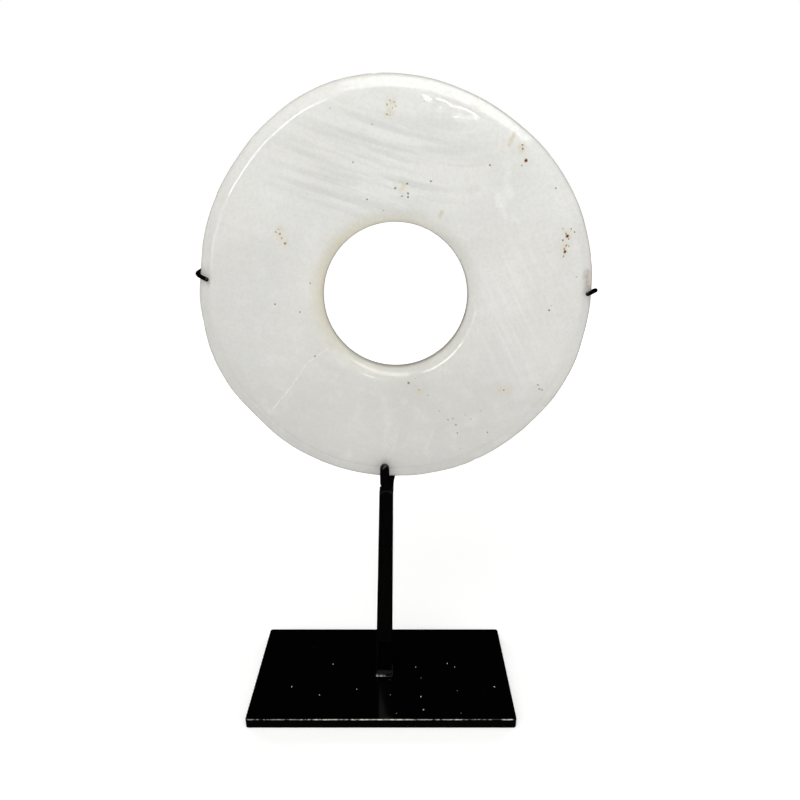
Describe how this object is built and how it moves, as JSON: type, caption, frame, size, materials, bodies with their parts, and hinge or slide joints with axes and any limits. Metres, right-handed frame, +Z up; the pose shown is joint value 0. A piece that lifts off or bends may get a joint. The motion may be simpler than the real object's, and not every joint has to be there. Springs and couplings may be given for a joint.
{
  "type": "onyx disc on stand",
  "caption": "Pale onyx ring held upright by a steel cradle and two rim hooks on a slim black post with a flat rectangular base.",
  "frame": {"origin": "centre of the base plate's underside, on the surface that the stand rests on", "axes": "+Z up, -Y the way the disc's front face looks, +X to the right as seen from the front"},
  "size_m": [0.3108, 0.118, 0.5383],
  "materials": {
    "onyx": "polished",
    "black_paint": "gloss"
  },
  "bodies": {
    "root": {"onyx_disc": "onyx", "base_plate": "black_paint", "post": "black_paint", "cradle": "black_paint", "left_claw_arm": "black_paint", "right_claw_arm": "black_paint"}
  },
  "joints": []
}
